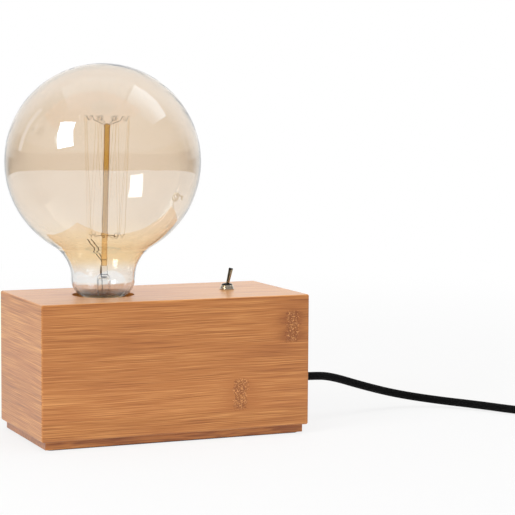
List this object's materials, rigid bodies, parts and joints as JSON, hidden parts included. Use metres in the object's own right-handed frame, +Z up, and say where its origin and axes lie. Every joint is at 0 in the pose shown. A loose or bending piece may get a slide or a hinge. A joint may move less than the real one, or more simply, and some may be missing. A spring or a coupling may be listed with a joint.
{
  "type": "bare bulb table lamp",
  "caption": "Table lamp: a bamboo block with a large round amber filament bulb screwed into its top, a toggle switch and a black textile cord with plug.",
  "frame": {"origin": "middle of the felt under the base plate, on the surface the lamp stands on, under the centre of the block", "axes": "+Z up, +X along the block from the bulb towards the switch and the cord, +Y to the back"},
  "size_m": [0.4664, 0.1744, 0.2384],
  "materials": {
    "bamboo": "pressed bamboo strips, clear satin lacquer",
    "inner_wood": "raw softwood",
    "felt": "thin black felt",
    "screw_steel": "plated steel",
    "zinc_steel": "zinc plated steel",
    "phenolic": "black moulded phenolic",
    "porcelain": "glazed white porcelain",
    "contact_brass": "plain brass",
    "chrome": "bright nickel chrome",
    "grommet": "black moulded rubber",
    "cord_textile": "black braided textile over the cable",
    "tie_fabric": "black woven band",
    "wire_brown": "brown wire insulation",
    "wire_blue": "blue wire insulation",
    "plug_plastic": "black moulded plastic",
    "pin_brass": "nickel plated brass",
    "pin_sleeve": "black insulating sleeve",
    "cap_brass": "rolled brass",
    "cap_glass": "black glass insulator",
    "cap_solder": "solder contact",
    "amber_glass": "clear blown glass with an amber tint",
    "clear_glass": "clear glass",
    "rod_glass": "amber glass rod",
    "support_wire": "dark support wire",
    "filament": "fine filament wire"
  },
  "bodies": {
    "base": {"front_panel": "bamboo", "back_panel": "bamboo", "left_panel": "bamboo", "right_panel": "bamboo", "top_panel": "bamboo", "corner_blocks": "inner_wood", "base_plate": "bamboo", "base_screws": "screw_steel", "base_felt": "felt", "holder_bracket": "zinc_steel", "bracket_screws": "screw_steel", "holder_nipple": "zinc_steel", "nipple_nuts": "zinc_steel", "holder_cap": "phenolic", "holder_shell": "phenolic", "holder_insert": "porcelain", "terminal_screws": "contact_brass", "socket_screw_shell": "contact_brass", "centre_contact": "contact_brass", "switch_dress_nut": "chrome", "switch_washer": "zinc_steel", "switch_bushing": "chrome", "switch_case": "phenolic", "switch_terminals": "contact_brass", "strain_relief": "grommet", "inner_cord": "cord_textile", "live_wire": "wire_brown", "neutral_wire": "wire_blue", "switched_wire": "wire_brown", "cord_lead": "cord_textile", "cord_coil": "cord_textile", "cord_tail": "cord_textile", "coil_tie": "tie_fabric", "plug_strain_relief": "plug_plastic", "plug_body": "plug_plastic", "plug_pins": "pin_brass", "plug_pin_sleeves": "pin_sleeve"},
    "bulb_tip": {"cap_contact": "cap_solder"},
    "bulb": {"bulb_cap": "cap_brass", "cap_insulator": "cap_glass", "glass_envelope": "amber_glass", "glass_stem": "clear_glass", "centre_rod": "rod_glass", "upper_supports": "support_wire", "lower_supports": "support_wire", "filament": "filament", "lead_wires": "support_wire"},
    "lever": {"switch_lever": "chrome"},
    "rocker": {"switch_rocker": "contact_brass"}
  },
  "joints": [
    {"name": "bulb_lift", "type": "slide", "parent": "base", "child": "bulb_tip", "axis": [0, 0, 1], "range_m": [0, 0.01815]},
    {"name": "bulb_turn", "type": "hinge", "parent": "bulb_tip", "child": "bulb", "pos_m": [-0.035, 0, 0.06], "axis": [0, 0, 1], "range_deg": [0, 1800]},
    {"name": "switch_throw", "type": "hinge", "parent": "base", "child": "lever", "pos_m": [0.051, 0, 0.0928], "axis": [0, 1, 0], "range_deg": [-26.8, 0]},
    {"name": "rocker_tilt", "type": "hinge", "parent": "base", "child": "rocker", "pos_m": [0.051, 0, 0.084], "axis": [0, 1, 0], "range_deg": [0, 16]}
  ],
  "couplings": [
    {"joint": "bulb_lift", "follows": "bulb_turn", "m_per_rad": 0.00057757},
    {"joint": "rocker_tilt", "follows": "switch_throw", "ratio": -0.597}
  ]
}
